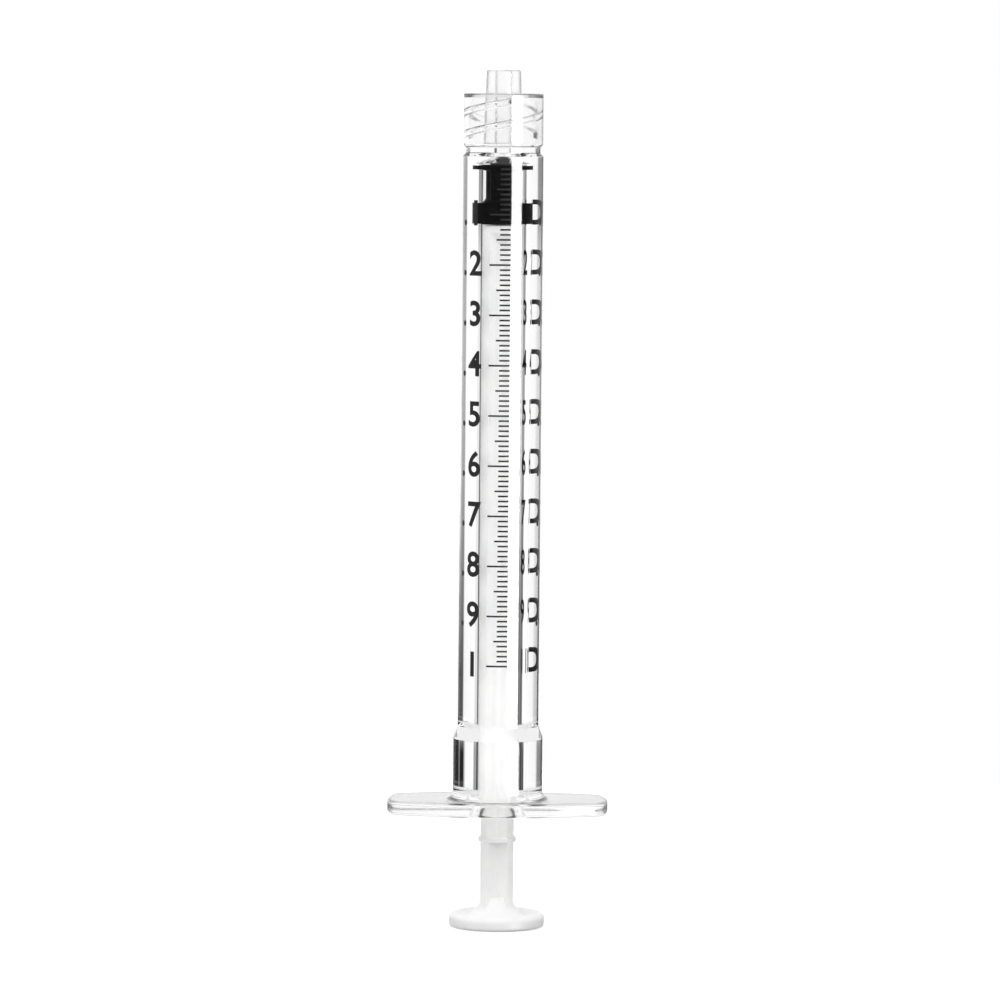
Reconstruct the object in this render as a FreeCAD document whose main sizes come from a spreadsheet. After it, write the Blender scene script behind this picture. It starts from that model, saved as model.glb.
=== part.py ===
import FreeCAD, Part
import math
import os
import Sketcher

# A one millilitre luer lock syringe, standing on its thumb rest with the tip up.
# Pieces: the moulded barrel, the rubber stopper and the moulded plunger rod.
# Each piece is modelled about the Z axis with its own lowest face at zero,
# and its placement lifts it to its height in the empty syringe.

# Driving dimensions in millimetres, and angles in degrees
SIZES = {
    # Thumb rest and rod
    "thumb_rest_diameter": 11.0,
    "thumb_rest_thickness": 1.6,
    "thumb_rest_rim_rise": 0.6,
    "thumb_rest_rim_step": 0.18,
    "thumb_rest_rim_width": 1.1,
    "thumb_rest_dish_depth": 0.3,
    "thumb_rest_foot_bevel": 0.35,
    "flare_diameter": 6.6,
    "flare_top_diameter": 3.6,
    "flare_rise": 2.1,
    "rod_width": 4.4,
    "rib_thickness": 1.06,
    "rib_turn": 45,
    "rib_root_fillet": 0.25,
    "web_height": 9.9,
    "web_thickness": 0.6,
    "web_diameter": 4.3,
    "rod_disc_thickness": 0.8,
    "rod_cone_foot_diameter": 2.6,
    "rod_cone_rise": 1.3,
    "knob_neck_diameter": 1.6,
    "knob_neck_length": 1.3,
    "knob_diameter": 2.5,
    "knob_length": 1.6,
    "knob_straight": 0.53,
    "knob_nose_diameter": 1.4,
    # Stopper
    "stopper_height": 81.3,
    "stopper_length": 6.84,
    "stopper_rear_rib": 2.55,
    "stopper_front_rib": 0.62,
    "stopper_neck_diameter": 3.86,
    "stopper_clearance": 0.02,
    "stopper_rib_bevel": 0.1,
    "socket_clearance": 0.05,
    "socket_end_clearance": 0.1,
    # Finger flange and its boss
    "flange_height": 13.3,
    "flange_length": 25.5,
    "flange_depth": 13.0,
    "flange_side_radius": 34,
    "flange_thickness": 1.6,
    "flange_corner_radius": 2.2,
    "flange_edge_radius": 0.4,
    "flange_under_bevel": 0.3,
    "boss_diameter": 10.3,
    "boss_rise": 7.1,
    "boss_cone_rise": 1.4,
    "boss_fillet": 0.9,
    # Barrel tube, with the bore's end just above the stopper
    "barrel_diameter": 9.3,
    "bore_diameter": 4.7,
    "stopper_end_gap": 0.16,
    "end_wall": 0.9,
    "bore_mouth_diameter": 6.2,
    "bore_mouth_rise": 1.2,
    "bore_front_cone": 0.75,
    # Waist and lock collar, measured up from the shoulder
    "waist_diameter": 8.6,
    "waist_slope": 0.3,
    "waist_length": 0.6,
    "collar_diameter": 9.2,
    "collar_foot": 0.4,
    "collar_floor_rise": 1.2,
    "collar_rise": 7.1,
    "collar_inside_diameter": 8.0,
    "collar_mouth_diameter": 8.4,
    "collar_mouth_rise": 0.45,
    "collar_rim_bevel": 0.15,
    # Lock thread, two starts
    "thread_crest_diameter": 7.0,
    "thread_pitch": 2.5,
    "thread_crest_width": 0.35,
    "thread_root_width": 1.0,
    "thread_bite": 0.12,
    "thread_start_rise": 1.1,
    "thread_end_drop": 0.95,
    # Luer tip with its six per cent taper
    "tip_rise": 9.8,
    "tip_end_diameter": 3.97,
    "tip_taper": 0.06,
    "tip_end_bevel": 0.2,
    "lumen_diameter": 1.55,
}
THREAD_STARTS = 2
PICK_SLACK = 0.01

# Rises of the bore's end and of the shoulder over the flange's underside
BORE_END = "stopper_height + stopper_length + stopper_end_gap - flange_height"
SHOULDER = f"{BORE_END} + end_wall"

Vector = FreeCAD.Vector
doc = FreeCAD.newDocument("luer_lock_syringe")
sheet = doc.addObject("Spreadsheet::Sheet", "sizes")
for row, (alias, value) in enumerate(SIZES.items(), start=1):
    sheet.set(f"A{row}", alias)
    sheet.set(f"B{row}", str(value))
    sheet.setAlias(f"B{row}", alias)
doc.recompute()


def expression(text):
    """An expression whose plain words are names of cells in the sheet."""
    words = text.replace("(", " ( ").replace(")", " ) ").split()
    return " ".join(f"sizes.{word}" if word in SIZES else word for word in words)


def value_of(text):
    """The number that an expression of sizes comes to."""
    return float(sheet.evalExpression(expression(text)))


def new_body(name, height):
    """A body named as its piece, lifted to its height in the assembly."""
    body = doc.addObject("PartDesign::Body", name)
    body.Label = name
    body.setExpression("Placement.Base.z", expression(height))
    return body


def new_sketch(body, name, role, rise=None):
    """A sketch on one of the body's origin planes, raised along it if asked."""
    sketch = body.newObject("Sketcher::SketchObject", name)
    plane = next(f for f in body.Origin.OriginFeatures if f.Role == role)
    sketch.AttachmentSupport = [(plane, "")]
    sketch.MapMode = "FlatFace"
    if rise:
        sketch.setExpression("AttachmentOffset.Base.z", expression(rise))
    return sketch


def constrain(sketch, kind, *places, size):
    """One dimension of a sketch, bound to an expression of sizes."""
    index = sketch.addConstraint(Sketcher.Constraint(kind, *places, value_of(size)))
    sketch.setExpression(f"Constraints[{index}]", expression(size))


def outline(sketch, corners):
    """A closed outline of straight sides, each corner given as (across, up) in words of the sheet."""
    points = [Vector(value_of(across), value_of(up), 0) for across, up in corners]
    count = len(points)
    for index, point in enumerate(points):
        sketch.addGeometry(Part.LineSegment(point, points[(index + 1) % count]), False)
    for index in range(count):
        sketch.addConstraint(Sketcher.Constraint("Coincident", index, 2, (index + 1) % count, 1))
    for index, (across, up) in enumerate(corners):
        constrain(sketch, "DistanceX", -1, 1, index, 1, size=across)
        constrain(sketch, "DistanceY", -1, 1, index, 1, size=up)


def circle(sketch, radius):
    """A circle about the sketch's origin."""
    sketch.addGeometry(Part.Circle(Vector(), Vector(0, 0, 1), value_of(radius)), False)
    sketch.addConstraint(Sketcher.Constraint("Coincident", 0, 3, -1, 1))
    constrain(sketch, "Radius", 0, size=radius)


def revolution(body, name, corners):
    """A turned solid about Z, from a half section of (radius, rise) corners."""
    sketch = new_sketch(body, f"{name}_section", "XZ_Plane")
    outline(sketch, corners)
    feature = body.newObject("PartDesign::Revolution", name)
    feature.Profile = sketch
    feature.ReferenceAxis = (sketch, ["V_Axis"])
    feature.Angle = 360
    doc.recompute()
    return feature


def edges_at(feature, wanted):
    """Names of a feature's edges that a test picks out."""
    return [f"Edge{i}" for i, edge in enumerate(feature.Shape.Edges, start=1) if wanted(edge)]


def circle_at(radius, rise):
    """A test for full circles of one radius at one rise."""
    radius, rise = value_of(radius), value_of(rise)

    def wanted(edge):
        curve = edge.Curve
        if not isinstance(curve, Part.Circle):
            return False
        return abs(curve.Radius - radius) < PICK_SLACK and abs(curve.Center.z - rise) < PICK_SLACK

    return wanted


def fillet(body, name, base, wanted, radius):
    """A round along the edges that a test picks out."""
    feature = body.newObject("PartDesign::Fillet", name)
    feature.Base = (base, edges_at(base, wanted))
    feature.setExpression("Radius", expression(radius))
    doc.recompute()
    return feature


def chamfer(body, name, base, wanted, width):
    """A bevel along the edges that a test picks out."""
    feature = body.newObject("PartDesign::Chamfer", name)
    feature.Base = (base, edges_at(base, wanted))
    feature.setExpression("Size", expression(width))
    doc.recompute()
    return feature


def make_plunger_rod():
    """The moulded rod: thumb rest, flare, crossed ribs, end disc and the knob that holds the stopper."""
    body = new_body("plunger_rod", "0")
    disc_top = "stopper_height - socket_end_clearance"
    rim, top = "thumb_rest_diameter / 2", "thumb_rest_thickness"
    dish = "thumb_rest_thickness - thumb_rest_dish_depth"
    revolution(body, "thumb_rest", [
        ("0", "0"),
        (f"{rim} - thumb_rest_foot_bevel", "0"),
        (rim, "thumb_rest_foot_bevel"),
        (rim, f"{top} - thumb_rest_rim_rise"),
        (f"{rim} - thumb_rest_rim_step", f"{top} - thumb_rest_rim_step"),
        (f"{rim} - thumb_rest_rim_rise", top),
        (f"{rim} - thumb_rest_rim_width", dish),
        ("flare_diameter / 2", dish),
        ("flare_top_diameter / 2", f"{dish} + flare_rise"),
        ("0", f"{dish} + flare_rise"),
    ])

    ribs = new_sketch(body, "rib_section", "XY_Plane", "thumb_rest_thickness / 2")
    ribs.setExpression("AttachmentOffset.Rotation.Angle", expression("rib_turn"))
    arm, half = "rod_width / 2", "rib_thickness / 2"
    outline(ribs, [
        (arm, f"-({half})"), (arm, half), (half, half), (half, arm),
        (f"-({half})", arm), (f"-({half})", half), (f"-({arm})", half), (f"-({arm})", f"-({half})"),
        (f"-({half})", f"-({half})"), (f"-({half})", f"-({arm})"), (half, f"-({arm})"), (half, f"-({half})"),
    ])
    pad = body.newObject("PartDesign::Pad", "crossed_ribs")
    pad.Profile = ribs
    rib_length = f"{disc_top} - rod_disc_thickness / 2 - thumb_rest_thickness / 2"
    pad.setExpression("Length", expression(rib_length))
    doc.recompute()
    root_from_axis = math.hypot(value_of(half), value_of(half))

    def rib_root(edge):
        """The four long inner corners of the crossed ribs."""
        box = edge.BoundBox
        upright = max(box.XLength, box.YLength) < PICK_SLACK < box.ZLength
        from_axis = math.hypot(box.Center.x, box.Center.y)
        return upright and abs(from_axis - root_from_axis) < PICK_SLACK

    fillet(body, "rib_root_round", pad, rib_root, "rib_root_fillet")

    web = new_sketch(body, "web_section", "XY_Plane", "web_height")
    circle(web, "web_diameter / 2")
    disc = body.newObject("PartDesign::Pad", "rod_web")
    disc.Profile = web
    disc.setExpression("Length", expression("web_thickness"))
    doc.recompute()

    neck_top = f"{disc_top} + knob_neck_length"
    revolution(body, "end_disc_and_knob", [
        ("0", f"{disc_top} - rod_disc_thickness - rod_cone_rise"),
        ("rod_cone_foot_diameter / 2", f"{disc_top} - rod_disc_thickness - rod_cone_rise"),
        ("rod_width / 2", f"{disc_top} - rod_disc_thickness"),
        ("rod_width / 2", disc_top),
        ("knob_neck_diameter / 2", disc_top),
        ("knob_neck_diameter / 2", neck_top),
        ("knob_diameter / 2", neck_top),
        ("knob_diameter / 2", f"{neck_top} + knob_straight"),
        ("knob_nose_diameter / 2", f"{neck_top} + knob_length"),
        ("0", f"{neck_top} + knob_length"),
    ])
    return body


def make_stopper():
    """The rubber stopper: two sealing ribs with a neck between, and a socket for the rod's knob."""
    body = new_body("stopper", "stopper_height")
    seal = "bore_diameter / 2 - stopper_clearance"
    neck = "stopper_neck_diameter / 2"
    slope = "bore_diameter / 2 - stopper_clearance - stopper_neck_diameter / 2"
    socket_neck = "knob_neck_diameter / 2 + socket_clearance"
    socket = "knob_diameter / 2 + socket_clearance"
    nose = "knob_nose_diameter / 2 + socket_clearance"
    ledge = "knob_neck_length - 2 * socket_end_clearance"
    straight_end = "knob_neck_length + knob_straight"
    socket_end = "knob_neck_length + knob_length"
    form = revolution(body, "ribbed_form", [
        (socket_neck, "0"),
        (seal, "0"),
        (seal, "stopper_rear_rib"),
        (neck, f"stopper_rear_rib + {slope}"),
        (neck, "stopper_length - stopper_front_rib"),
        (seal, "stopper_length - stopper_front_rib"),
        (seal, "stopper_length"),
        ("0", "stopper_length"),
        ("0", socket_end),
        (nose, socket_end),
        (socket, straight_end),
        (socket, ledge),
        (socket_neck, ledge),
    ])
    rims = [
        circle_at(seal, rise)
        for rise in ("0", "stopper_rear_rib", "stopper_length - stopper_front_rib", "stopper_length")
    ]
    chamfer(body, "rib_bevels", form, lambda e: any(rim(e) for rim in rims), "stopper_rib_bevel")
    return body


def flange_outline(sketch):
    """Two bowed long sides and two round ends, each an arc that meets its neighbours at the corners."""
    end_radius = value_of("flange_length / 2")
    side_radius = value_of("flange_side_radius")
    side_centre = value_of("flange_side_radius - flange_depth / 2")
    corner_y = (side_radius**2 - end_radius**2 - side_centre**2) / (2 * side_centre)
    corner_x = math.sqrt(end_radius**2 - corner_y**2)
    end_turn = math.atan2(corner_y, corner_x)
    side_turn = math.atan2(corner_x, corner_y + side_centre)
    arcs = [
        (side_centre, side_radius, -math.pi / 2, side_turn),
        (0, end_radius, 0, end_turn),
        (-side_centre, side_radius, math.pi / 2, side_turn),
        (0, end_radius, math.pi, end_turn),
    ]
    for centre, radius, middle, turn in arcs:
        round_form = Part.Circle(Vector(0, centre, 0), Vector(0, 0, 1), radius)
        sketch.addGeometry(Part.ArcOfCircle(round_form, middle - turn, middle + turn), False)
    for index in range(len(arcs)):
        following = (index + 1) % len(arcs)
        sketch.addConstraint(Sketcher.Constraint("Coincident", index, 2, following, 1))
    for index, sign in ((0, ""), (2, "-")):
        constrain(sketch, "DistanceX", -1, 1, index, 3, size="0")
        rise = f"{sign}(flange_side_radius - flange_depth / 2)"
        constrain(sketch, "DistanceY", -1, 1, index, 3, size=rise)
        constrain(sketch, "Radius", index, size="flange_side_radius")
    for index in (1, 3):
        sketch.addConstraint(Sketcher.Constraint("Coincident", index, 3, -1, 1))
        constrain(sketch, "Radius", index, size="flange_length / 2")


def add_flange(body):
    """The finger flange: an oblong plate with bowed sides, rounded corners and rounded edges."""
    sketch = new_sketch(body, "flange_section", "XY_Plane")
    flange_outline(sketch)
    plate = body.newObject("PartDesign::Pad", "flange_plate")
    plate.Profile = sketch
    plate.setExpression("Length", expression("flange_thickness"))
    doc.recompute()

    def corner(edge):
        return edge.BoundBox.ZLength > value_of("flange_thickness / 2")

    corners = fillet(body, "flange_corners", plate, corner, "flange_corner_radius")

    def upper_rim(edge):
        return edge.BoundBox.ZLength < PICK_SLACK < edge.BoundBox.ZMin

    def lower_rim(edge):
        return edge.BoundBox.ZMax < PICK_SLACK

    rounded = fillet(body, "flange_upper_edge", corners, upper_rim, "flange_edge_radius")
    chamfer(body, "flange_lower_edge", rounded, lower_rim, "flange_under_bevel")


def make_barrel():
    """The clear barrel, one moulding: finger flange, boss, tube, luer tip and threaded lock collar."""
    body = new_body("barrel", "flange_height")
    add_flange(body)
    add_tube(body)
    cut_bore(body)
    add_thread(body)
    return body


def add_tube(body):
    """The outside of the boss, tube, waist, collar and tip, with the ring-shaped well between the last two."""
    tube, boss, lumen = "barrel_diameter / 2", "boss_diameter / 2", "lumen_diameter / 2"
    waist, collar = "waist_diameter / 2", "collar_diameter / 2"
    boss_top = "flange_thickness + boss_rise"
    waist_foot = f"{SHOULDER} + waist_slope"
    floor, top = f"{SHOULDER} + collar_floor_rise", f"{SHOULDER} + collar_rise"
    tip_end = f"{SHOULDER} + tip_rise"
    tip_foot = "tip_end_diameter / 2 + tip_taper / 2 * ( tip_rise - collar_floor_rise )"
    form = revolution(body, "tube_and_collar", [
        ("0", "flange_thickness / 2"),
        (boss, "flange_thickness / 2"),
        (boss, boss_top),
        (tube, f"{boss_top} + boss_cone_rise"),
        (tube, SHOULDER),
        (waist, waist_foot),
        (waist, f"{waist_foot} + waist_length"),
        (collar, f"{waist_foot} + waist_length + collar_foot"),
        (collar, top),
        ("collar_mouth_diameter / 2", top),
        ("collar_inside_diameter / 2", f"{top} - collar_mouth_rise"),
        ("collar_inside_diameter / 2", floor),
        (tip_foot, floor),
        ("tip_end_diameter / 2", tip_end),
        ("0", tip_end),
    ])
    form = fillet(body, "boss_foot_round", form, circle_at(boss, "flange_thickness"), "boss_fillet")
    form = chamfer(body, "collar_rim", form, circle_at(collar, top), "collar_rim_bevel")
    return chamfer(body, "tip_end", form, circle_at("tip_end_diameter / 2", tip_end), "tip_end_bevel")


def cut_bore(body):
    """The bore from its flared mouth to its front cone, and the lumen on through the tip."""
    solid_volume = body.Tip.Shape.Volume
    bore, lumen = "bore_diameter / 2", "lumen_diameter / 2"
    past_tip = f"{SHOULDER} + tip_rise + tip_end_diameter"
    section = new_sketch(body, "bore_section", "XZ_Plane")
    outline(section, [
        ("0", "0"),
        ("bore_mouth_diameter / 2", "0"),
        (bore, "bore_mouth_rise"),
        (bore, BORE_END),
        (lumen, f"{BORE_END} + bore_front_cone"),
        (lumen, past_tip),
        ("0", past_tip),
    ])
    groove = body.newObject("PartDesign::Groove", "bore_and_lumen")
    groove.Profile = section
    groove.ReferenceAxis = (section, ["V_Axis"])
    groove.Angle = 360
    doc.recompute()
    if groove.Shape.Volume >= solid_volume:
        raise RuntimeError("the bore cuts nothing")


def add_thread(body):
    """The lock thread inside the collar: ridges of trapezoid section, one for each start."""
    reach = "collar_inside_diameter / 2 + thread_bite"
    crest = "thread_crest_diameter / 2"
    start = f"{SHOULDER} + collar_floor_rise + thread_start_rise"
    section = new_sketch(body, "thread_section", "XZ_Plane")
    outline(section, [
        (reach, f"{start} - thread_root_width / 2"),
        (crest, f"{start} - thread_crest_width / 2"),
        (crest, f"{start} + thread_crest_width / 2"),
        (reach, f"{start} + thread_root_width / 2"),
    ])
    ridge = body.newObject("PartDesign::AdditiveHelix", "thread_ridge")
    ridge.Profile = section
    ridge.ReferenceAxis = (section, ["V_Axis"])
    ridge.Mode = "pitch-height-angle"
    ridge.setExpression("Pitch", expression(f"{THREAD_STARTS} * thread_pitch"))
    height = "collar_rise - collar_floor_rise - thread_start_rise - thread_end_drop"
    ridge.setExpression("Height", expression(height))
    ridge.Angle = 0
    ridge.LeftHanded = False
    doc.recompute()
    pattern = body.newObject("PartDesign::PolarPattern", "thread_starts")
    pattern.Originals = [ridge]
    axis = next(f for f in body.Origin.OriginFeatures if f.Role == "Z_Axis")
    pattern.Axis = (axis, [""])
    pattern.Angle = 360
    pattern.Occurrences = THREAD_STARTS
    body.Tip = pattern
    doc.recompute()


def check_and_write(bodies):
    """Every object has recomputed cleanly and every piece is one valid solid before any file is written."""
    doc.recompute()
    failed = [o.Name for o in doc.Objects if "Invalid" in o.State or "Error" in o.State]
    if failed:
        raise RuntimeError(f"failed objects: {failed}")
    for body in bodies:
        shape = body.Shape
        if shape.isNull() or not shape.isValid() or len(shape.Solids) != 1:
            raise RuntimeError(f"{body.Label} is not one valid solid")
    os.makedirs("parts", exist_ok=True)
    for body in bodies:
        body.Shape.exportStep(f"parts/{body.Label}.step")
        box = body.Shape.BoundBox
        print(f"{body.Label}: {body.Shape.Volume:.1f} cubic mm, {box.ZMin:.2f} to {box.ZMax:.2f} mm high")


check_and_write([make_plunger_rod(), make_stopper(), make_barrel()])
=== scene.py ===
import math

import bmesh
import bpy
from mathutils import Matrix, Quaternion, Vector


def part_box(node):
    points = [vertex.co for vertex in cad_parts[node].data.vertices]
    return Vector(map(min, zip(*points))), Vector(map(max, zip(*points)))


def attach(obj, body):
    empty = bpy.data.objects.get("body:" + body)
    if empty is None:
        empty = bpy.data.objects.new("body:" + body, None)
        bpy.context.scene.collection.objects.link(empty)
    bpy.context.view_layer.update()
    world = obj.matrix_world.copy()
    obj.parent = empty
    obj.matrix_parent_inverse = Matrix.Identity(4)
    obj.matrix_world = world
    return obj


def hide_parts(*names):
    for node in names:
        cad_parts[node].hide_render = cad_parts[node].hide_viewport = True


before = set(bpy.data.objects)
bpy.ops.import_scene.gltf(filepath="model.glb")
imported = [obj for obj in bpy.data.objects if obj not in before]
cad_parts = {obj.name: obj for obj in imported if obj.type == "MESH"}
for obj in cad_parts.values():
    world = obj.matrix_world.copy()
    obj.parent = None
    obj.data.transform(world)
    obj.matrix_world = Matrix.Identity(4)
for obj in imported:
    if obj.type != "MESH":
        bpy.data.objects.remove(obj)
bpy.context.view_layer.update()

MM = 0.001
AROUND = 288             # points round every turned form
HOLD = 0.04              # millimetres from a face's end to the ring that holds its normals
LONG_FACE_SHARE = 0.15   # a face is long where HOLD is less than this share of it
SHARP_ANGLE = 35         # degrees from which an edge stays sharp
BEVEL = 0.1              # millimetres that small corners are eased by
SMALL_BEVEL = 0.05
TURN = 2 * math.pi

# Heights and half widths in millimetres, read from the frame
barrel_low, barrel_high = (corner / MM for corner in map(Vector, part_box("barrel")))
stopper_low, stopper_high = (corner / MM for corner in map(Vector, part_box("stopper")))
rod_low, rod_high = (corner / MM for corner in map(Vector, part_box("plunger_rod")))

FLANGE_UNDER = barrel_low.z
FLANGE_HALF = barrel_high.x
FLANGE_HALF_DEPTH = barrel_high.y
TIP_END = barrel_high.z
STOPPER_BACK = stopper_low.z
STOPPER_FRONT = stopper_high.z
THUMB_HALF = rod_high.x
KNOB_END = rod_high.z

# Barrel, in millimetres
FLANGE_THICK = 1.6
FLANGE_SIDE_RADIUS = 34.0
FLANGE_CORNER_RADIUS = 2.2
FLANGE_EDGE_RADIUS = 0.4
FLANGE_UNDER_EDGE = 0.3
BOSS_RADIUS = 5.15
BOSS_FOOT_RADIUS = 0.9
BOSS_RISE = 7.1
BOSS_CONE_RISE = 1.4
BOSS_CONE_EASE = 0.02
TUBE_RADIUS = 4.65
SHOULDER = TIP_END - 9.8
SHOULDER_EDGE = 0.12
WAIST_RADIUS = 4.3
WAIST_SLOPE = 0.3
WAIST_LENGTH = 0.6
COLLAR_RADIUS = 4.6
COLLAR_FOOT = 0.4
COLLAR_FOOT_EASE = 0.03
COLLAR_RIM = 0.15
COLLAR_TOP = SHOULDER + 7.1
COLLAR_FLOOR = SHOULDER + 1.2
COLLAR_INSIDE = 4.0
COLLAR_MOUTH = 4.2
COLLAR_MOUTH_RISE = 0.45
TIP_END_RADIUS = 1.985
TIP_TAPER = 0.03
TIP_EDGE = 0.2
LUMEN_RADIUS = 0.775
BORE_END = SHOULDER - 0.9
BORE_CONE_RISE = 0.75
BORE_CONE_EASE = 0.03
BORE_MOUTH_RADIUS = 3.1
BORE_MOUTH_RISE = 1.2

# Lock thread, in millimetres: two starts, so ridges lie one pitch apart
THREAD_PITCH = 2.5
THREAD_DEPTH = 0.5
THREAD_CREST = 0.35
THREAD_ROOT = 0.88
THREAD_FIRST = COLLAR_FLOOR + 1.1
THREAD_LAST = COLLAR_TOP - 0.95
THREAD_FADE = 0.12
THREAD_STEP = 0.06

# Stopper, in millimetres: its ribs overlap the bore's wall by RIB_PRESS, so that they show through it enlarged
STOPPER_SEAL = stopper_high.x
RIB_PRESS = 0.005
BORE_RADIUS = STOPPER_SEAL - RIB_PRESS
STOPPER_NECK = 1.93
STOPPER_REAR_RIB = 2.55
STOPPER_FRONT_RIB = 0.62
STOPPER_EDGE = 0.1
SOCKET_CLEARANCE = 0.05

# Rod, in millimetres
THUMB_THICK = 1.6
THUMB_EDGE = 0.6
THUMB_RIM_WIDTH = 1.1
THUMB_DISH = 0.3
THUMB_RIM_STEP = 0.12
THUMB_FOOT_EDGE = 0.35
FLARE_RADIUS = 3.3
FLARE_TOP_RADIUS = 1.8
FLARE_RISE = 2.1
FLARE_STEPS = 8
RIB_REACH = 2.2
RIB_HALF = 0.53
RIB_ROOT = 0.25
WEB_HEIGHT = 9.9
WEB_THICK = 0.6
WEB_RADIUS = 2.15
WEB_EDGE = 0.08
DISC_TOP = STOPPER_BACK - 0.1
DISC_THICK = 0.8
DISC_CONE_RADIUS = 1.3
DISC_CONE_RISE = 1.3
DISC_CONE_STEPS = 4
DISC_EDGE = 0.02
KNOB_NECK_RADIUS = 0.8
KNOB_NECK_LENGTH = 1.3
KNOB_RADIUS = 1.25
KNOB_STRAIGHT = 0.53
KNOB_NOSE_RADIUS = 0.7

# Printed scale, in millimetres and degrees round the barrel from the front, positive to the right
INK_LIFT = 0.012
SCALE_ZERO = STOPPER_FRONT + 0.14
SCALE_STEP = 0.5764
SCALE_STEPS = 100
TICK_HEIGHT = 0.2
TICK_RIGHT = 12.0
TICK_SHORT_LEFT = -3.0
TICK_MIDDLE_LEFT = -8.0
TICK_LONG_LEFT = -18.0
BAR_SPLIT = 2
DIGIT_HEIGHT = 2.9
CAPITAL_SHARE = 0.73
DIGIT_SLICE = 0.15
DIGIT_CENTRE = -41.0
DIGIT_BOLD = 0.09
POINT_CENTRE = -64.0
SIDE_DIGIT_CENTRE = 91.5
SIDE_POINT_CENTRE = 68.5
BACK_UNITS_RIGHT = 179.0

# Clear plastic: how matt it is by its place, and the millimetres over which that fades
PLASTIC_IOR = 1.49
FLANGE_MATT = 0.14
COLLAR_MATT = 0.1
TIP_MATT = 0.22
MATT_FADE_BELOW = 0.4
MATT_FADE_ABOVE = 0.5

# Camera, in metres and degrees: it stands level with the tip and leans as the photograph does
CAMERA_DISTANCE = 0.70
CAMERA_OVER_TIP = 0.5    # millimetres
CAMERA_ROLL = 0.5
CAMERA_SENSOR = 36       # millimetres
PICTURE_SHARE = 0.86     # share of the picture's height that the syringe fills

# Light: what lights the surfaces, what shows in the plastic's gloss, and what shows through it
ROOM_LEVEL = 1.0
INSIDE_GAIN = 2.1        # makes up for the light that the barrel keeps from the rod
BACK_LEVEL = 1.08
SIDE_LEVEL = 1.4
STRIP_LEVEL = 26.0
STRIP = (26, 56)         # degrees from the front, positive to the right
TABLE_LEVEL = 0.95
TABLE_SEEN = 0.88
BAND_EDGE = 0.006
SIGHT_REACH = 0.2
FLOOR_RADIUS = 0.16
FLOOR_DROP = 0.00002
FLOOR_GREY = 0.45
FLOOR_SHOWN = 0.68
LIGHT_PLACE = (-0.45, -0.5, 0.55)
LIGHT_SIZE = 0.5
LIGHT_POWER = 0.6

# Flags that show through the plastic: where they start and end in degrees from the front, positive to the
# right, and their levels by the height of the line of sight, 0 and 1 at SIGHT_REACH under and over level
FLAGS = [
    (-60, 60, [
        (0.2, TABLE_SEEN), (0.205, BACK_LEVEL), (0.427, BACK_LEVEL),
        (0.433, 0.02), (0.464, 0.02), (0.472, BACK_LEVEL),
    ]),
    (8, 30, [
        (0.16, 0.02), (0.465, 0.03), (0.475, BACK_LEVEL),
    ]),
    (-30, -8, [
        (0.16, 0.02), (0.465, 0.03), (0.475, BACK_LEVEL),
    ]),
    (60, 112, [
        (0.16, 0.0), (0.222, 0.0), (0.227, 0.06), (0.27, 0.1), (0.29, 0.22), (0.31, 0.58), (0.33, 0.8),
        (0.41, 0.82), (0.43, 0.6), (0.465, 0.62), (0.475, 0.65), (0.486, 0.45), (0.51, 0.45),
    ]),
    (112, 131, [
        (0.16, 0.01), (0.222, 0.03), (0.227, 0.11), (0.25, 0.12), (0.29, 0.18), (0.35, 0.31), (0.385, 0.36),
        (0.41, 0.34), (0.44, 0.24), (0.465, 0.32), (0.475, 0.7), (0.486, 0.5), (0.51, 0.5),
    ]),
    (131, 143, [
        (0.16, 0.01), (0.222, 0.02), (0.227, BACK_LEVEL), (0.47, BACK_LEVEL), (0.486, 0.5), (0.51, 0.5),
    ]),
    (-131, -112, [
        (0.16, 0.28), (0.222, 0.36), (0.227, 0.75), (0.27, 0.85), (0.41, 0.9), (0.44, 0.36), (0.465, 0.28),
        (0.475, 0.5), (0.51, 0.5),
    ]),
    (-112, -62, [
        (0.16, 0.01), (0.222, 0.01), (0.227, 0.1), (0.25, 0.04), (0.29, 0.04), (0.35, 0.14), (0.41, 0.14),
        (0.425, 0.02), (0.465, 0.02), (0.475, 0.45), (0.51, 0.5),
    ]),
]


def flange_radius(angle, inset):
    """Distance from the axis to the flange's outline at an angle, with the outline drawn in by inset."""
    side_centre = FLANGE_SIDE_RADIUS - FLANGE_HALF_DEPTH
    side = FLANGE_SIDE_RADIUS - FLANGE_CORNER_RADIUS
    end = FLANGE_HALF - FLANGE_CORNER_RADIUS
    corner_y = (side**2 - end**2 - side_centre**2) / (2 * side_centre)
    corner_x = math.sqrt(end**2 - corner_y**2)
    along, across = abs(math.cos(angle)), abs(math.sin(angle))
    turn = math.atan2(across, along)
    to_side = math.atan2(corner_y + side_centre, corner_x)
    radius = FLANGE_SIDE_RADIUS - inset
    side_point = (radius * math.cos(to_side), radius * math.sin(to_side) - side_centre)
    if turn < math.atan2(corner_y, corner_x):
        return FLANGE_HALF - inset
    if turn > math.atan2(side_point[1], side_point[0]):
        return -side_centre * across + math.sqrt(radius**2 - (side_centre * along) ** 2)
    radius = FLANGE_CORNER_RADIUS - inset
    reach = along * corner_x + across * corner_y
    return reach + math.sqrt(radius**2 - corner_x**2 - corner_y**2 + reach**2)


def flange_ring(inset, height):
    return (lambda angle: flange_radius(angle, inset), height)


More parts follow.
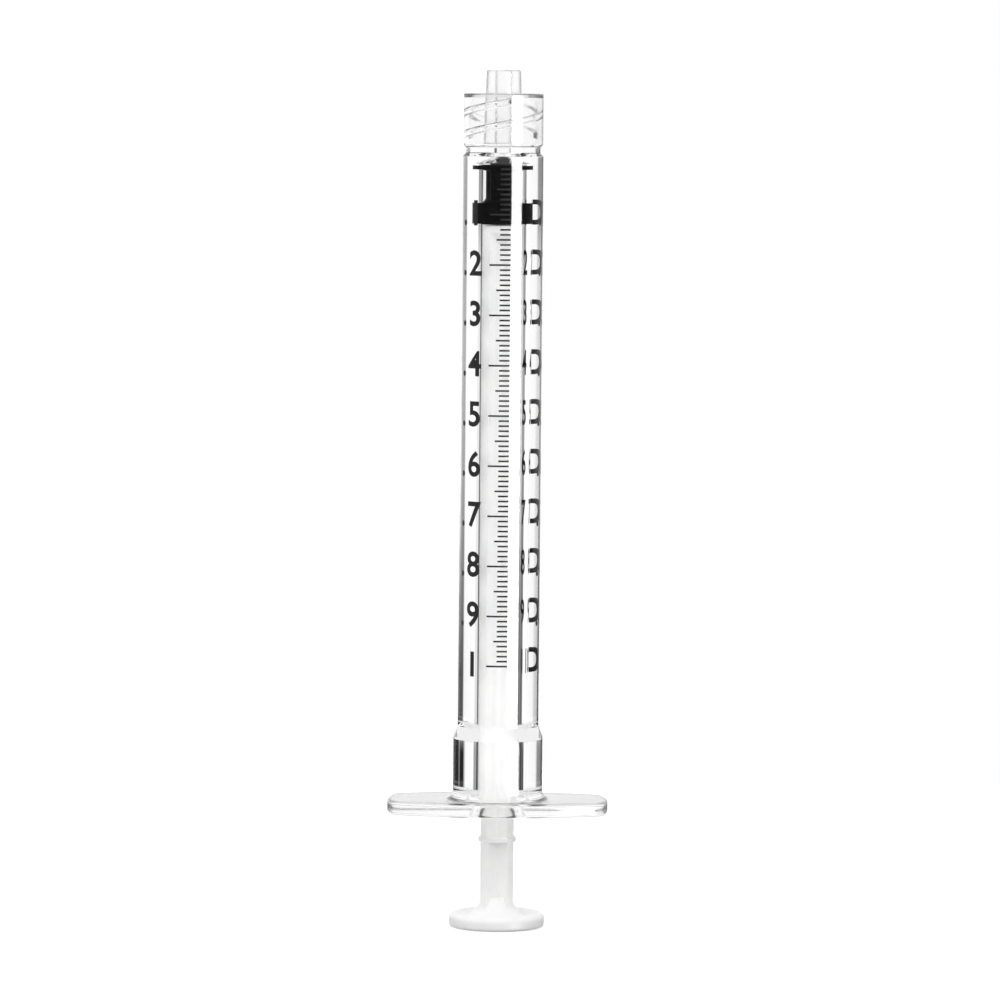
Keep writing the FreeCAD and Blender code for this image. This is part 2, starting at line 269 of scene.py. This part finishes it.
def thread_radius(height):
    """The collar's inner radius round one ring at a height, with the two ridges of the thread."""

    def radius(angle):
        ridge = 0.0
        for turn_count in (-1, 0, 1, 2):
            centre = THREAD_FIRST + THREAD_PITCH * (2 * angle / TURN + turn_count)
            away = abs(height - centre)
            slope = (THREAD_ROOT / 2 - away) / (THREAD_ROOT / 2 - THREAD_CREST / 2)
            starts = (centre - THREAD_FIRST) / THREAD_FADE + 1
            ends = (THREAD_LAST - centre) / THREAD_FADE + 1
            ridge = max(ridge, min(1.0, max(0.0, min(slope, starts, ends))))
        smooth = ridge * ridge * (3 - 2 * ridge)
        return COLLAR_INSIDE - THREAD_DEPTH * smooth

    return radius


def rib_radius(angle):
    """Distance from the axis to the outline of the crossed ribs, which stand at 45 degrees to the front."""
    turn = abs((angle % (TURN / 4)) - TURN / 8)
    to_end = RIB_REACH / math.cos(turn)
    to_flat = RIB_HALF / math.sin(turn) if turn else to_end
    root = RIB_HALF + RIB_ROOT
    toward = math.cos(turn) * root + math.sin(turn) * root
    inside = RIB_ROOT**2 - 2 * root**2 + toward**2
    if inside > 0 and to_flat < root / math.cos(turn):
        to_flat = toward - math.sqrt(inside)
    return min(to_end, to_flat)


def arc(centre, radius, start, end, steps):
    """Points (radius from the axis, height) on an arc whose angles are in degrees from outwards to up."""
    turns = [math.radians(start + (end - start) * step / steps) for step in range(steps + 1)]
    return [(centre[0] + radius * math.cos(turn), centre[1] + radius * math.sin(turn)) for turn in turns]


def reach_at(radius, angle):
    return radius(angle) if callable(radius) else radius


def between(ring, following, share):
    """A ring on the face between two rings, at a share of the way."""

    def radius(angle):
        return reach_at(ring[0], angle) * (1 - share) + reach_at(following[0], angle) * share

    return (radius, ring[1] * (1 - share) + following[1] * share)


def held(rings, closed):
    """The rings with one more just inside each end of a long face, so that the face keeps its own normals."""
    every = []
    for ring, following in zip(rings, rings[1:] + rings[:1]):
        every.append(ring)
        if following is rings[0] and not closed:
            break
        across = max(abs(reach_at(ring[0], turn) - reach_at(following[0], turn)) for turn in (0, TURN / 4))
        share = HOLD / math.hypot(across, ring[1] - following[1])
        if share < LONG_FACE_SHARE:
            every += [between(ring, following, share), between(ring, following, 1 - share)]
    return every


def turned(name, rings, closed):
    """A smooth mesh through rings about Z, each (radius or function of the angle, height); zero is a point."""
    mesh = bmesh.new()
    loops = []
    for radius, height in held(rings, closed):
        if radius == 0:
            loops.append([mesh.verts.new((0, 0, height * MM))])
            continue
        loop = []
        for step in range(AROUND):
            angle = TURN * step / AROUND
            reach = reach_at(radius, angle) * MM
            loop.append(mesh.verts.new((reach * math.cos(angle), reach * math.sin(angle), height * MM)))
        loops.append(loop)
    pairs = list(zip(loops, loops[1:]))
    if closed:
        pairs.append((loops[-1], loops[0]))
    for lower, upper in pairs:
        for step in range(AROUND):
            ahead = (step + 1) % AROUND
            corners = [lower[step % len(lower)], lower[ahead % len(lower)]]
            corners += [upper[ahead % len(upper)], upper[step % len(upper)]]
            mesh.faces.new(list(dict.fromkeys(corners)))
    bmesh.ops.recalc_face_normals(mesh, faces=mesh.faces)
    return new_object(name, mesh)


def new_object(name, mesh):
    """A smooth-shaded object from a bmesh, with its sharp edges kept sharp."""
    data = bpy.data.meshes.new(name)
    mesh.to_mesh(data)
    mesh.free()
    data.shade_smooth()
    data.set_sharp_from_angle(angle=math.radians(SHARP_ANGLE))
    piece = bpy.data.objects.new(name, data)
    bpy.context.scene.collection.objects.link(piece)
    return piece


def barrel_rings():
    """The barrel's section, from the bore's mouth round the outside to the tip and back down the bore."""
    top = FLANGE_UNDER + FLANGE_THICK
    boss_top = top + BOSS_RISE
    rings = [(BORE_MOUTH_RADIUS, FLANGE_UNDER)]
    rings += [flange_ring(4 * FLANGE_UNDER_EDGE, FLANGE_UNDER)]
    for radius, height in arc((0, FLANGE_UNDER + FLANGE_UNDER_EDGE), FLANGE_UNDER_EDGE, -90, 0, 5):
        rings.append(flange_ring(FLANGE_UNDER_EDGE - radius, height))
    for radius, height in arc((0, top - FLANGE_EDGE_RADIUS), FLANGE_EDGE_RADIUS, 0, 90, 6):
        rings.append(flange_ring(FLANGE_EDGE_RADIUS - radius, height))
    foot = (BOSS_RADIUS + BOSS_FOOT_RADIUS, top + BOSS_FOOT_RADIUS)
    rings += arc(foot, BOSS_FOOT_RADIUS, 270, 180, 8)
    cone_top = boss_top + BOSS_CONE_RISE
    rings += [(BOSS_RADIUS, boss_top - BEVEL), (BOSS_RADIUS - BOSS_CONE_EASE, boss_top + BEVEL)]
    rings += [(TUBE_RADIUS + BOSS_CONE_EASE, cone_top - BEVEL), (TUBE_RADIUS, cone_top + BEVEL)]
    rings += arc((TUBE_RADIUS - SHOULDER_EDGE, SHOULDER - SHOULDER_EDGE), SHOULDER_EDGE, 0, 50, 4)
    waist_foot = SHOULDER + WAIST_SLOPE
    collar_foot = waist_foot + WAIST_LENGTH + COLLAR_FOOT
    rings += [(WAIST_RADIUS, waist_foot), (WAIST_RADIUS, waist_foot + WAIST_LENGTH)]
    rings += [(COLLAR_RADIUS - COLLAR_FOOT_EASE, collar_foot - SMALL_BEVEL)]
    rings += [(COLLAR_RADIUS, collar_foot + SMALL_BEVEL)]
    rings += arc((COLLAR_RADIUS - COLLAR_RIM, COLLAR_TOP - COLLAR_RIM), COLLAR_RIM, 0, 90, 4)
    rings += [(COLLAR_MOUTH, COLLAR_TOP)]
    mouth_foot = COLLAR_TOP - COLLAR_MOUTH_RISE
    thread_count = round((mouth_foot - COLLAR_FLOOR) / THREAD_STEP)
    for step in range(thread_count):
        height = mouth_foot - (mouth_foot - COLLAR_FLOOR) * step / thread_count
        rings.append((thread_radius(height), height))
    tip_foot = TIP_END_RADIUS + TIP_TAPER * (TIP_END - COLLAR_FLOOR)
    rings += [(COLLAR_INSIDE, COLLAR_FLOOR + BEVEL), (COLLAR_INSIDE - BEVEL, COLLAR_FLOOR)]
    rings += [(tip_foot + BEVEL, COLLAR_FLOOR), (tip_foot, COLLAR_FLOOR + BEVEL)]
    rings += arc((TIP_END_RADIUS - TIP_EDGE, TIP_END - TIP_EDGE), TIP_EDGE, 0, 90, 5)
    rings += [(LUMEN_RADIUS + SMALL_BEVEL, TIP_END), (LUMEN_RADIUS, TIP_END - SMALL_BEVEL)]
    rings += [(LUMEN_RADIUS, BORE_END + BORE_CONE_RISE), (BORE_RADIUS - SMALL_BEVEL, BORE_END + BORE_CONE_EASE)]
    rings += [(BORE_RADIUS, BORE_END - SMALL_BEVEL), (BORE_RADIUS, FLANGE_UNDER + BORE_MOUTH_RISE)]
    return rings


def stopper_rings():
    """The stopper's section: socket, back, ribs, neck and front."""
    back_top = STOPPER_BACK + STOPPER_REAR_RIB
    front_foot = STOPPER_FRONT - STOPPER_FRONT_RIB
    inner = STOPPER_SEAL - STOPPER_EDGE
    socket = KNOB_NECK_RADIUS + SOCKET_CLEARANCE
    rings = [(0, STOPPER_BACK + KNOB_NECK_LENGTH)]
    rings += [(socket, STOPPER_BACK + KNOB_NECK_LENGTH), (socket, STOPPER_BACK)]
    rings += arc((inner, STOPPER_BACK + STOPPER_EDGE), STOPPER_EDGE, -90, 0, 3)
    rings += arc((inner, back_top - STOPPER_EDGE), STOPPER_EDGE, 0, 45, 3)
    rings += [(STOPPER_NECK + SMALL_BEVEL, back_top + STOPPER_SEAL - STOPPER_NECK - SMALL_BEVEL)]
    rings += [(STOPPER_NECK, back_top + STOPPER_SEAL - STOPPER_NECK + BEVEL)]
    rings += [(STOPPER_NECK, front_foot - BEVEL), (STOPPER_NECK + BEVEL, front_foot)]
    rings += arc((inner, front_foot + STOPPER_EDGE), STOPPER_EDGE, -90, 0, 3)
    rings += arc((inner, STOPPER_FRONT - STOPPER_EDGE), STOPPER_EDGE, 0, 90, 3)
    rings += [(0, STOPPER_FRONT)]
    return rings


def rod_rings():
    """The rod's section: thumb rest, flare, crossed ribs with their web, end disc and knob."""
    foot_edge, edge = THUMB_FOOT_EDGE, THUMB_EDGE
    rings = [(0, 0)]
    rings += arc((THUMB_HALF - foot_edge, foot_edge), foot_edge, -90, 0, 5)
    rings += arc((THUMB_HALF - edge, THUMB_THICK - edge), edge, 0, 90, 6)
    dish = THUMB_THICK - THUMB_DISH
    dish_radius = THUMB_HALF - THUMB_RIM_WIDTH
    rings += [(dish_radius + THUMB_RIM_STEP, dish + SMALL_BEVEL), (dish_radius - SMALL_BEVEL, dish)]
    flare_top = dish + FLARE_RISE
    for step in range(FLARE_STEPS + 1):
        share = step / FLARE_STEPS
        reach = FLARE_TOP_RADIUS + (FLARE_RADIUS - FLARE_TOP_RADIUS) * (1 - share) ** 2

        def flared(angle, reach=reach):
            return max(reach, rib_radius(angle))

        rings.append((flared, dish + FLARE_RISE * share))
    rings += [(rib_radius, flare_top + SMALL_BEVEL), (rib_radius, WEB_HEIGHT)]
    rings += [(WEB_RADIUS - WEB_EDGE, WEB_HEIGHT), (WEB_RADIUS, WEB_HEIGHT + WEB_EDGE)]
    rings += [(WEB_RADIUS, WEB_HEIGHT + WEB_THICK - WEB_EDGE), (WEB_RADIUS - WEB_EDGE, WEB_HEIGHT + WEB_THICK)]
    rings += [(rib_radius, WEB_HEIGHT + WEB_THICK), (rib_radius, DISC_TOP - DISC_THICK - DISC_CONE_RISE)]
    for step in range(1, DISC_CONE_STEPS + 1):
        reach = DISC_CONE_RADIUS + (RIB_REACH - DISC_CONE_RADIUS) * step / DISC_CONE_STEPS

        def coned(angle, reach=reach):
            return max(reach, rib_radius(angle))

        rings.append((coned, DISC_TOP - DISC_THICK - DISC_CONE_RISE * (1 - step / DISC_CONE_STEPS)))
    rings += [(RIB_REACH, DISC_TOP - DISC_THICK + DISC_EDGE), (RIB_REACH, DISC_TOP)]
    neck_top = DISC_TOP + KNOB_NECK_LENGTH
    rings += [(KNOB_NECK_RADIUS, DISC_TOP), (KNOB_NECK_RADIUS, neck_top)]
    rings += [(KNOB_RADIUS, neck_top), (KNOB_RADIUS, neck_top + KNOB_STRAIGHT)]
    rings += [(KNOB_NOSE_RADIUS, KNOB_END), (0, KNOB_END)]
    return rings


def nodes_of(material):
    material.use_nodes = True
    tree = material.node_tree
    return tree, tree.nodes["Principled BSDF"]


def bumped(tree, shader, scale, strength, depth):
    """A fine unevenness on a shader's surface, from a noise in the object's own coordinates."""
    place = tree.nodes.new("ShaderNodeTexCoord")
    noise = tree.nodes.new("ShaderNodeTexNoise")
    noise.inputs["Scale"].default_value = scale
    noise.inputs["Detail"].default_value = 3
    bump = tree.nodes.new("ShaderNodeBump")
    bump.inputs["Strength"].default_value = strength
    bump.inputs["Distance"].default_value = depth
    tree.links.new(place.outputs["Object"], noise.inputs["Vector"])
    tree.links.new(noise.outputs["Fac"], bump.inputs["Height"])
    tree.links.new(bump.outputs["Normal"], shader.inputs["Normal"])
    return noise


def varied(tree, noise, socket, low, high):
    """A socket that runs between two values or colours with a noise."""
    ramp = tree.nodes.new("ShaderNodeValToRGB")
    ramp.color_ramp.elements[0].position = 0.35
    ramp.color_ramp.elements[1].position = 0.65
    ramp.color_ramp.elements[0].color = low
    ramp.color_ramp.elements[1].color = high
    tree.links.new(noise.outputs["Fac"], ramp.inputs["Fac"])
    tree.links.new(ramp.outputs["Color"], socket)


def grey(value):
    return (value, value, value, 1)


def clear_plastic():
    """Clear plastic, polished on the tube and slightly matt on the flange, the collar and the tip."""
    material = bpy.data.materials.new("clear_polypropylene")
    tree, shader = nodes_of(material)
    shader.inputs["Transmission Weight"].default_value = 1
    shader.inputs["IOR"].default_value = PLASTIC_IOR
    noise = bumped(tree, shader, 90, 0.02, 0.00002)
    varied(tree, noise, shader.inputs["Base Color"], (0.985, 0.985, 0.985, 1), (1, 1, 1, 1))
    varied(tree, noise, shader.inputs["Roughness"], grey(0.0), grey(0.02))
    polished = shader.inputs["Roughness"].links[0].from_socket
    place = tree.nodes.new("ShaderNodeSeparateXYZ")
    tree.links.new(tree.nodes["Texture Coordinate"].outputs["Object"], place.inputs[0])
    share = math_node(tree, "DIVIDE", place.outputs["Z"], TIP_END * MM)
    flange_top = FLANGE_UNDER + FLANGE_THICK
    matt = ramp_of(tree, share, [
        (0.0, FLANGE_MATT), (flange_top / TIP_END, FLANGE_MATT), ((flange_top + BOSS_FOOT_RADIUS) / TIP_END, 0.0),
        ((COLLAR_FLOOR - MATT_FADE_BELOW) / TIP_END, 0.0), (COLLAR_FLOOR / TIP_END, COLLAR_MATT),
        ((COLLAR_TOP - MATT_FADE_ABOVE) / TIP_END, COLLAR_MATT), (COLLAR_TOP / TIP_END, TIP_MATT), (1.0, TIP_MATT),
    ])
    tree.links.new(math_node(tree, "ADD", polished, matt), shader.inputs["Roughness"])
    return material


def black_rubber():
    """Matt black rubber that shines little, because it lies close under the plastic."""
    material = bpy.data.materials.new("black_rubber")
    tree, shader = nodes_of(material)
    shader.inputs["Specular IOR Level"].default_value = 0.06
    noise = bumped(tree, shader, 1800, 0.25, 0.00002)
    varied(tree, noise, shader.inputs["Base Color"], grey(0.003), grey(0.007))
    varied(tree, noise, shader.inputs["Roughness"], grey(0.5), grey(0.65))
    return material


def rod_plastic():
    """Milky plastic that light enters by about a millimetre."""
    material = bpy.data.materials.new("milky_polypropylene")
    tree, shader = nodes_of(material)
    shader.inputs["IOR"].default_value = PLASTIC_IOR
    shader.inputs["Subsurface Weight"].default_value = 0.6
    shader.inputs["Subsurface Radius"].default_value = (0.0012, 0.0012, 0.0011)
    shader.inputs["Subsurface Scale"].default_value = 1
    noise = bumped(tree, shader, 700, 0.08, 0.00003)
    varied(tree, noise, shader.inputs["Base Color"], (0.92, 0.92, 0.915, 1), (0.95, 0.95, 0.945, 1))
    varied(tree, noise, shader.inputs["Roughness"], grey(0.28), grey(0.4))
    return material


def black_ink():
    """Printed black ink with a faint gloss."""
    material = bpy.data.materials.new("black_ink")
    tree, shader = nodes_of(material)
    shader.inputs["Specular IOR Level"].default_value = 0.3
    noise = bumped(tree, shader, 5000, 0.1, 0.000005)
    varied(tree, noise, shader.inputs["Base Color"], grey(0.006), grey(0.02))
    varied(tree, noise, shader.inputs["Roughness"], grey(0.45), grey(0.6))
    return material


def on_barrel(mesh, centre_turn, height):
    """Wraps a flat bmesh drawn in X and Y, in millimetres, on the barrel about a turn and a height."""
    reach = TUBE_RADIUS + INK_LIFT
    for vert in mesh.verts:
        turn = math.radians(centre_turn) + vert.co.x / reach
        vert.co = Vector((reach * math.sin(turn), -reach * math.cos(turn), height + vert.co.y)) * MM


def ink_rectangle(mesh, left, right, height):
    """Adds one printed bar to a mesh, between two turns from the front, split so that it follows the barrel."""
    reach = TUBE_RADIUS + INK_LIFT
    splits = max(2, round((right - left) / BAR_SPLIT))
    rows = []
    for step in range(splits + 1):
        angle = math.radians(left + (right - left) * step / splits)
        place = Vector((reach * math.sin(angle), -reach * math.cos(angle), 0))
        pair = [(place + Vector((0, 0, height + side * TICK_HEIGHT / 2))) * MM for side in (-1, 1)]
        rows.append([mesh.verts.new(corner) for corner in pair])
    for (low, high), (next_low, next_high) in zip(rows, rows[1:]):
        mesh.faces.new((low, next_low, next_high, high))


def front_ticks():
    """The scale's ticks in hundredths: short, middle at each fifth and long at each tenth."""
    mesh = bmesh.new()
    for step in range(SCALE_STEPS + 1):
        left = TICK_SHORT_LEFT
        if step % 5 == 0:
            left = TICK_MIDDLE_LEFT
        if step % 10 == 0:
            left = TICK_LONG_LEFT
        ink_rectangle(mesh, left, TICK_RIGHT, SCALE_ZERO - SCALE_STEP * step)
    return new_object("front_ticks", mesh)


def text_piece(name, text, turn, height, align="CENTER"):
    """Plain digits, as flat bold forms cut in slices and wrapped on the barrel."""
    curve = bpy.data.curves.new(name, "FONT")
    curve.body = text
    curve.align_x = align
    curve.align_y = "CENTER"
    curve.size = DIGIT_HEIGHT / CAPITAL_SHARE
    curve.offset = DIGIT_BOLD
    curve.resolution_u = 4
    holder = bpy.data.objects.new(name, curve)
    bpy.context.scene.collection.objects.link(holder)
    bpy.context.view_layer.update()
    flat = bpy.data.meshes.new_from_object(holder)
    bpy.data.objects.remove(holder)
    mesh = bmesh.new()
    mesh.from_mesh(flat)
    left = min(vert.co.x for vert in mesh.verts)
    right = max(vert.co.x for vert in mesh.verts)
    cut = left + DIGIT_SLICE
    while cut < right:
        geometry = list(mesh.verts) + list(mesh.edges) + list(mesh.faces)
        bmesh.ops.bisect_plane(mesh, geom=geometry, plane_co=(cut, 0, 0), plane_no=(1, 0, 0))
        cut += DIGIT_SLICE
    on_barrel(mesh, turn, height)
    return new_object(name, mesh)


def dress(piece, body, material, slot, *nodes):
    """Gives a piece its material and its body, and hides the CAD nodes that it stands for."""
    piece.data.materials.clear()
    piece.data.materials.append(material)
    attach(piece, body)
    if nodes:
        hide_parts(*nodes)


def make_print():
    """The scale in hundredths, with figures for its tenths at the front and the side and for its units behind."""
    ink = black_ink()
    pieces = [front_ticks()]
    for tenth in range(1, 11):
        height = SCALE_ZERO - SCALE_STEP * 10 * tenth
        digit = str(tenth) if tenth < 10 else "1"
        for place, digit_turn, point_turn in (
            ("front", DIGIT_CENTRE, POINT_CENTRE),
            ("side", SIDE_DIGIT_CENTRE, SIDE_POINT_CENTRE),
        ):
            pieces.append(text_piece(f"{place}_digit_{tenth}", digit, digit_turn, height))
            if tenth < 10:
                pieces.append(text_piece(f"{place}_point_{tenth}", ".", point_turn, height))
        pieces.append(text_piece(f"back_units_{tenth}", str(10 * tenth), BACK_UNITS_RIGHT, height, "RIGHT"))
    for piece in pieces:
        dress(piece, "barrel", ink, "barrel_clear")


def ramp_of(tree, value, stops):
    """A grey ramp through (position, value) stops."""
    ramp = tree.nodes.new("ShaderNodeValToRGB")
    elements = ramp.color_ramp.elements
    elements[0].position, elements[0].color = stops[0][0], grey(stops[0][1])
    elements[1].position, elements[1].color = stops[-1][0], grey(stops[-1][1])
    for position, level in stops[1:-1]:
        elements.new(position).color = grey(level)
    tree.links.new(value, ramp.inputs["Fac"])
    return ramp.outputs["Color"]


def math_node(tree, operation, first, second=None, third=None):
    node = tree.nodes.new("ShaderNodeMath")
    node.operation = operation
    for index, source in enumerate((first, second, third)):
        if source is None:
            continue
        if isinstance(source, (int, float)):
            node.inputs[index].default_value = source
        else:
            tree.links.new(source, node.inputs[index])
    return node.outputs[0]


def mixed(tree, share, first, second):
    """The first value where the share is 0 and the second where it is 1."""
    node = tree.nodes.new("ShaderNodeMix")
    tree.links.new(share, node.inputs["Factor"])
    for name, source in (("A", first), ("B", second)):
        if isinstance(source, (int, float)):
            node.inputs[name].default_value = source
        else:
            tree.links.new(source, node.inputs[name])
    return node.outputs["Result"]


def band(tree, turn, start, end):
    """1 between two turns in degrees from the front and 0 elsewhere, with soft ends."""
    low, high = start / 360 + 0.5, end / 360 + 0.5
    return ramp_of(tree, turn, [
        (0.0, 0.0), (low - BAND_EDGE, 0.0), (low + BAND_EDGE, 1.0),
        (high - BAND_EDGE, 1.0), (high + BAND_EDGE, 0.0), (1.0, 0.0),
    ])


def studio():
    """A room that lights the syringe, with a white back, flags and a lit strip that show in its plastic."""
    world = bpy.data.worlds.new("studio")
    bpy.context.scene.world = world
    world.use_nodes = True
    tree = world.node_tree
    background = tree.nodes["Background"]
    background.inputs["Color"].default_value = grey(1)
    path = tree.nodes.new("ShaderNodeLightPath").outputs
    place = tree.nodes.new("ShaderNodeTexCoord")
    axes = tree.nodes.new("ShaderNodeSeparateXYZ")
    tree.links.new(place.outputs["Generated"], axes.inputs["Vector"])
    x, y, z = axes.outputs["X"], axes.outputs["Y"], axes.outputs["Z"]
    # The turn from the front and the height of the line of sight, both laid on 0 to 1
    around = math_node(tree, "ARCTAN2", x, math_node(tree, "MULTIPLY", y, -1))
    turn = math_node(tree, "MULTIPLY_ADD", around, 0.5 / math.pi, 0.5)
    height = math_node(tree, "MULTIPLY_ADD", z, 0.5 / SIGHT_REACH, 0.5)
    through = ramp_of(tree, height, [(0.0, TABLE_SEEN), (0.2, TABLE_SEEN), (0.205, BACK_LEVEL), (1.0, BACK_LEVEL)])
    for start, end, levels in FLAGS:
        stops = [(0.0, TABLE_SEEN), (0.12, TABLE_SEEN), *levels, (0.55, BACK_LEVEL), (1.0, BACK_LEVEL)]
        through = mixed(tree, band(tree, turn, start, end), through, ramp_of(tree, height, stops))

    # What the first surface reflects
    strip = math_node(tree, "MULTIPLY", band(tree, turn, *STRIP), STRIP_LEVEL)
    side = ramp_of(tree, turn, [(0.0, 1.0), (0.20, 1.0), (0.28, 0.0), (0.76, 0.0), (0.84, 0.25), (1.0, 0.25)])
    side_level = ramp_of(tree, height, [(0.0, 0.0), (0.25, 0.0), (0.33, 0.9), (0.5, 1.0), (1.0, 1.0)])
    shine = math_node(tree, "MULTIPLY", math_node(tree, "MULTIPLY", side, side_level), SIDE_LEVEL)
    shine = math_node(tree, "ADD", strip, shine)
    above_or_below = ramp_of(tree, height, [
        (0.0, 1.0), (0.1, 1.0), (0.15, 0.0), (0.54, 0.0), (0.6, 1.0), (1.0, 1.0),
    ])
    shine = mixed(tree, above_or_below, shine, TABLE_LEVEL)

    # Sight lines see the flags or the shine, the camera alone sees white, and the rest is the room's light
    look = mixed(tree, path["Is Transmission Ray"], shine, through)
    look = math_node(tree, "MAXIMUM", look, path["Is Camera Ray"])
    looked_at = math_node(tree, "MAXIMUM", path["Is Camera Ray"], path["Is Glossy Ray"])
    first_look = math_node(tree, "LESS_THAN", path["Diffuse Depth"], 0.5)
    looked_at = math_node(tree, "MULTIPLY", looked_at, first_look)
    room = mixed(tree, path["Is Transmission Ray"], ROOM_LEVEL, ROOM_LEVEL * INSIDE_GAIN)
    facing = ramp_of(tree, turn, [(0.0, 0.9), (0.25, 0.6), (0.5, 1.3), (0.75, 0.55), (1.0, 0.9)])
    slope = math_node(tree, "MULTIPLY_ADD", z, 0.5, 0.5)
    upward = ramp_of(tree, slope, [(0.0, 0.3), (0.4, 0.7), (0.6, 1.1), (1.0, 1.2)])
    room = math_node(tree, "MULTIPLY", math_node(tree, "MULTIPLY", room, facing), upward)
    tree.links.new(mixed(tree, looked_at, room, look), background.inputs["Strength"])


def make_floor():
    """A pale floor that the camera sees as white, apart from the object's own soft shadow."""
    mesh = bmesh.new()
    bmesh.ops.create_circle(mesh, cap_ends=True, segments=96, radius=FLOOR_RADIUS)
    floor = new_object("floor", mesh)
    floor.location.z = -FLOOR_DROP
    material = bpy.data.materials.new("pale_floor")
    tree, shader = nodes_of(material)
    shader.inputs["Base Color"].default_value = grey(FLOOR_GREY)
    shader.inputs["Roughness"].default_value = 0.7
    shader.inputs["Specular IOR Level"].default_value = 0.2
    path = tree.nodes.new("ShaderNodeLightPath").outputs
    shown = math_node(tree, "MAXIMUM", path["Is Camera Ray"], path["Is Transmission Ray"])
    shown = math_node(tree, "MAXIMUM", shown, path["Is Glossy Ray"])
    shader.inputs["Emission Color"].default_value = (1, 1, 1, 1)
    tree.links.new(math_node(tree, "MULTIPLY", shown, FLOOR_SHOWN), shader.inputs["Emission Strength"])
    floor.data.materials.append(material)
    floor.visible_transmission = False
    floor.visible_glossy = False


def make_camera():
    """Level with the tip and an arm's length away, looking at the middle of the syringe."""
    middle = Vector((0, 0, TIP_END / 2 * MM))
    eye = Vector((0, -CAMERA_DISTANCE, (TIP_END + CAMERA_OVER_TIP) * MM))
    data = bpy.data.cameras.new("camera")
    data.sensor_width = CAMERA_SENSOR
    data.lens = data.sensor_width * MM * CAMERA_DISTANCE / (TIP_END * MM / PICTURE_SHARE) / MM
    data.clip_end = 10
    camera = bpy.data.objects.new("camera", data)
    bpy.context.scene.collection.objects.link(camera)
    camera.location = eye
    aim = (middle - eye).to_track_quat("-Z", "Y")
    camera.rotation_euler = (aim @ Quaternion((0, 0, 1), math.radians(CAMERA_ROLL))).to_euler()
    bpy.context.scene.camera = camera


def make_lights():
    """A broad soft light from the upper left."""
    data = bpy.data.lights.new("soft_light", "AREA")
    data.shape = "RECTANGLE"
    data.size = LIGHT_SIZE
    data.size_y = LIGHT_SIZE
    data.energy = LIGHT_POWER
    light = bpy.data.objects.new("soft_light", data)
    bpy.context.scene.collection.objects.link(light)
    light.location = LIGHT_PLACE
    light.rotation_euler = (-light.location).to_track_quat("-Z", "Y").to_euler()
    light.visible_glossy = False


dress(turned("barrel_shell", barrel_rings(), True), "barrel", clear_plastic(), "barrel_clear", "barrel")
dress(turned("stopper_form", stopper_rings(), False), "stopper", black_rubber(), "stopper_rubber", "stopper")
dress(turned("rod_form", rod_rings(), False), "plunger_rod", rod_plastic(), "rod_plastic", "plunger_rod")
make_print()
studio()
make_floor()
make_lights()
make_camera()
bpy.context.scene.view_settings.view_transform = "Standard"
